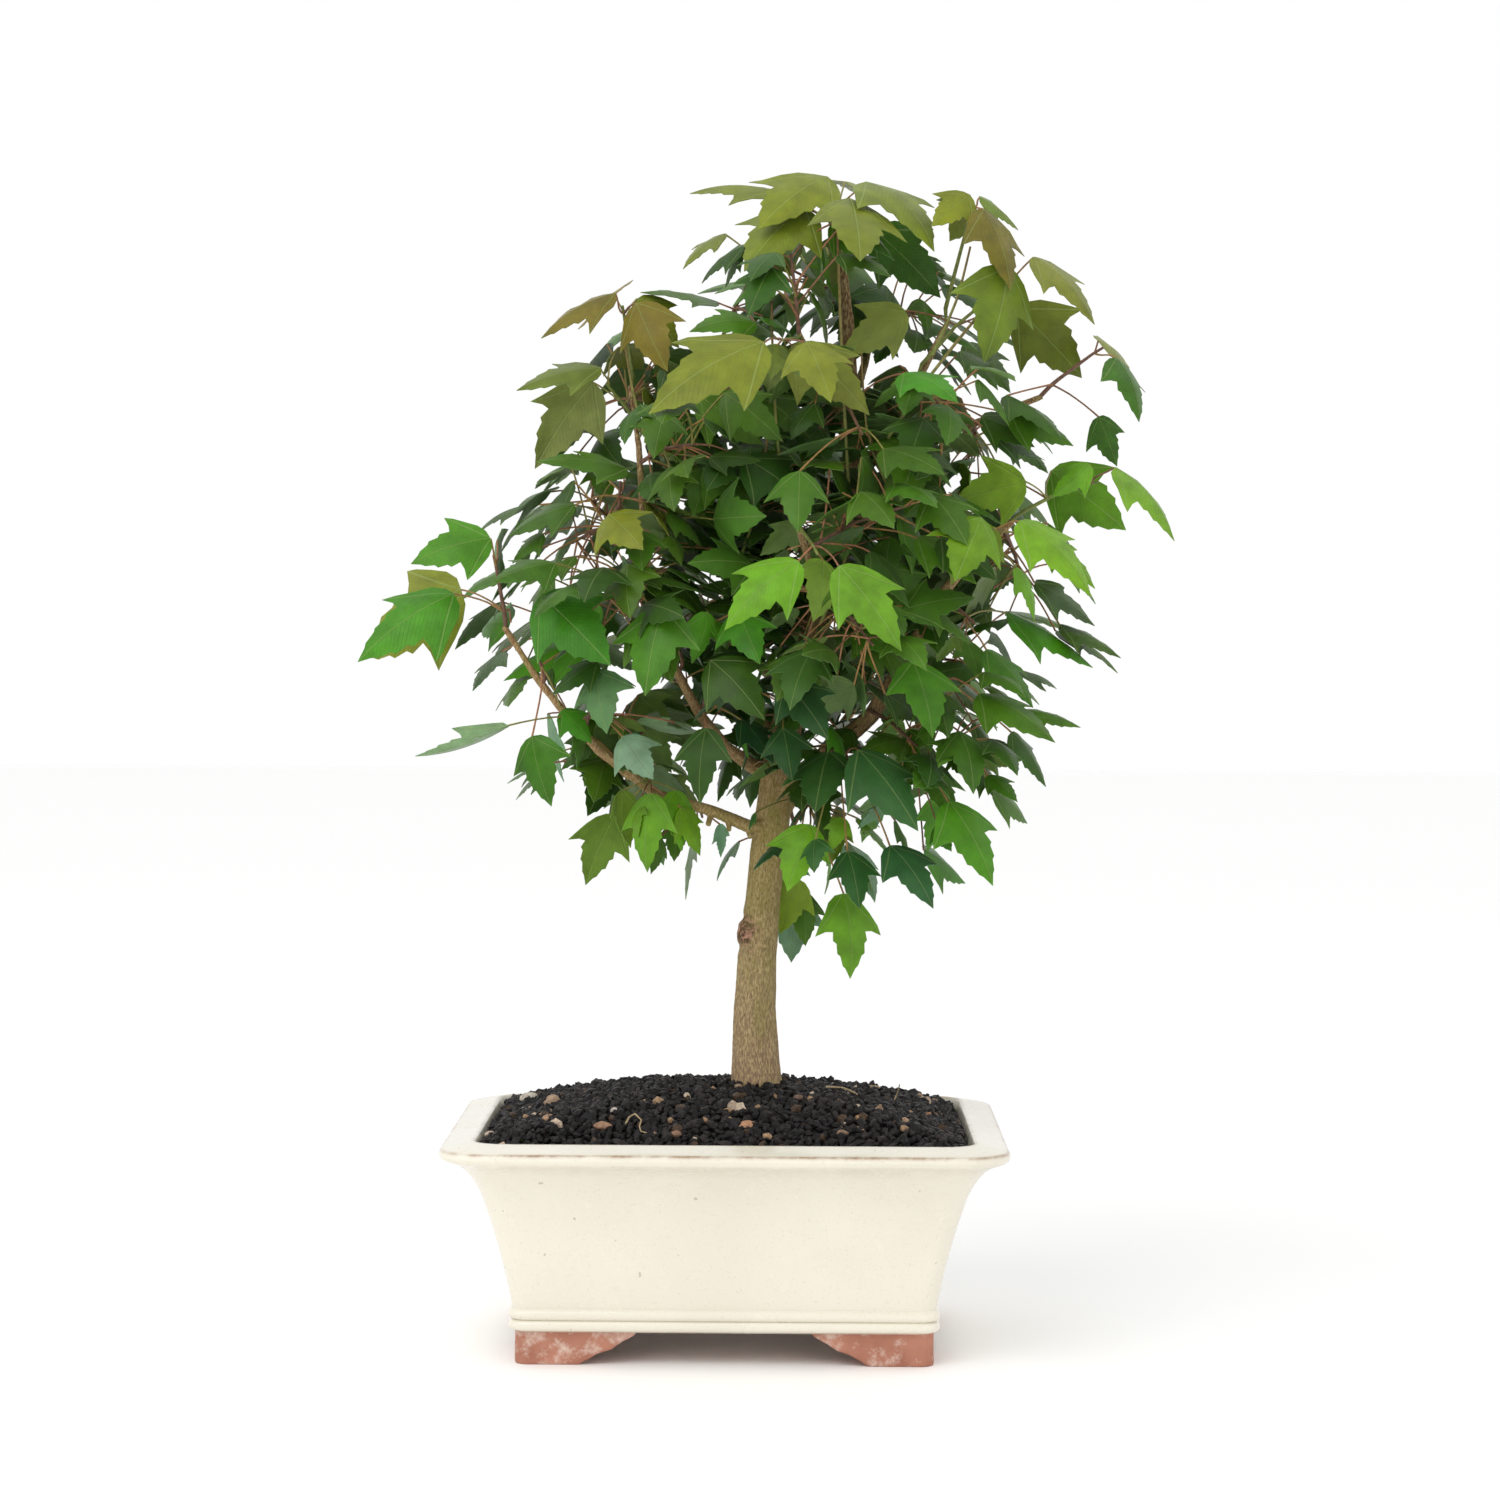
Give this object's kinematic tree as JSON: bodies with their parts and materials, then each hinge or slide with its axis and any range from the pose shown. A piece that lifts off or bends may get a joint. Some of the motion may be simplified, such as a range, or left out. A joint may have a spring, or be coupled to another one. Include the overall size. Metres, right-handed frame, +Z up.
{
  "type": "bonsai tree in a pot",
  "caption": "Young trident maple grown as a bonsai, with an open leafy crown, in a shallow rectangular glazed pot on clay feet, filled with dark granular soil.",
  "frame": {"origin": "middle of the whole object's bounding box, at its base: the plane that the pot's feet stand on", "axes": "+Z up, from the feet to the top of the crown; +X to the right along the pot's long side, as seen from the front; +Y towards the back"},
  "size_m": [0.361, 0.2784, 0.5184],
  "materials": {
    "cream_glaze": "gloss",
    "bare_clay": "matte",
    "black_soil": "matte",
    "bark": "matte",
    "maple_leaf": "satin",
    "tan_stone": "matte",
    "black_net": "satin",
    "aluminium_wire": "satin"
  },
  "bodies": {
    "root": {"drainage_net_left": "black_net", "drainage_net_right": "black_net", "pebble_left_flat": "tan_stone", "pebble_left_large": "tan_stone", "pebble_middle": "tan_stone", "pebble_orange": "tan_stone", "pebble_right_back": "tan_stone", "pot": "cream_glaze", "shoot_bronze_left": "maple_leaf", "shoot_centre_lime": "maple_leaf", "shoot_centre_low": "maple_leaf", "shoot_crown_left": "maple_leaf", "shoot_crown_right": "maple_leaf", "shoot_crown_top": "maple_leaf", "shoot_far_left": "maple_leaf", "shoot_far_right_top": "maple_leaf", "shoot_front_high": "maple_leaf", "shoot_inner_back": "maple_leaf", "shoot_inner_back_left": "maple_leaf", "shoot_inner_back_right": "maple_leaf", "shoot_inner_centre_front": "maple_leaf", "shoot_inner_left_back": "maple_leaf", "shoot_inner_left_front": "maple_leaf", "shoot_inner_left_high": "maple_leaf", "shoot_inner_left_high_front": "maple_leaf", "shoot_inner_left_low_back": "maple_leaf", "shoot_inner_left_mid": "maple_leaf", "shoot_inner_left_outer_back": "maple_leaf", "shoot_inner_right_front": "maple_leaf", "shoot_inner_right_high_back": "maple_leaf", "shoot_inner_right_high_front": "maple_leaf", "shoot_inner_right_low_back": "maple_leaf", "shoot_inner_right_low_front": "maple_leaf", "shoot_inner_right_outer": "maple_leaf", "shoot_inner_top_back": "maple_leaf", "shoot_inner_top_front": "maple_leaf", "shoot_inner_top_right": "maple_leaf", "shoot_left_behind": "maple_leaf", "shoot_left_bright": "maple_leaf", "shoot_left_hanging": "maple_leaf", "shoot_left_inner": "maple_leaf", "shoot_left_lower_umbrella": "maple_leaf", "shoot_left_pair": "maple_leaf", "shoot_left_pale": "maple_leaf", "shoot_left_shoulder": "maple_leaf", "shoot_left_upper_umbrella": "maple_leaf", "shoot_right_hanging": "maple_leaf", "shoot_right_high_umbrella": "maple_leaf", "shoot_right_inner": "maple_leaf", "shoot_right_lime": "maple_leaf", "shoot_right_low": "maple_leaf", "shoot_right_mid": "maple_leaf", "shoot_right_top": "maple_leaf", "shoot_right_umbrella": "maple_leaf", "shoot_trunk_behind": "maple_leaf", "shoot_trunk_front": "maple_leaf", "soil": "black_soil", "staple_left": "aluminium_wire", "staple_right": "aluminium_wire", "trunk_and_branches": "bark"}
  },
  "joints": []
}
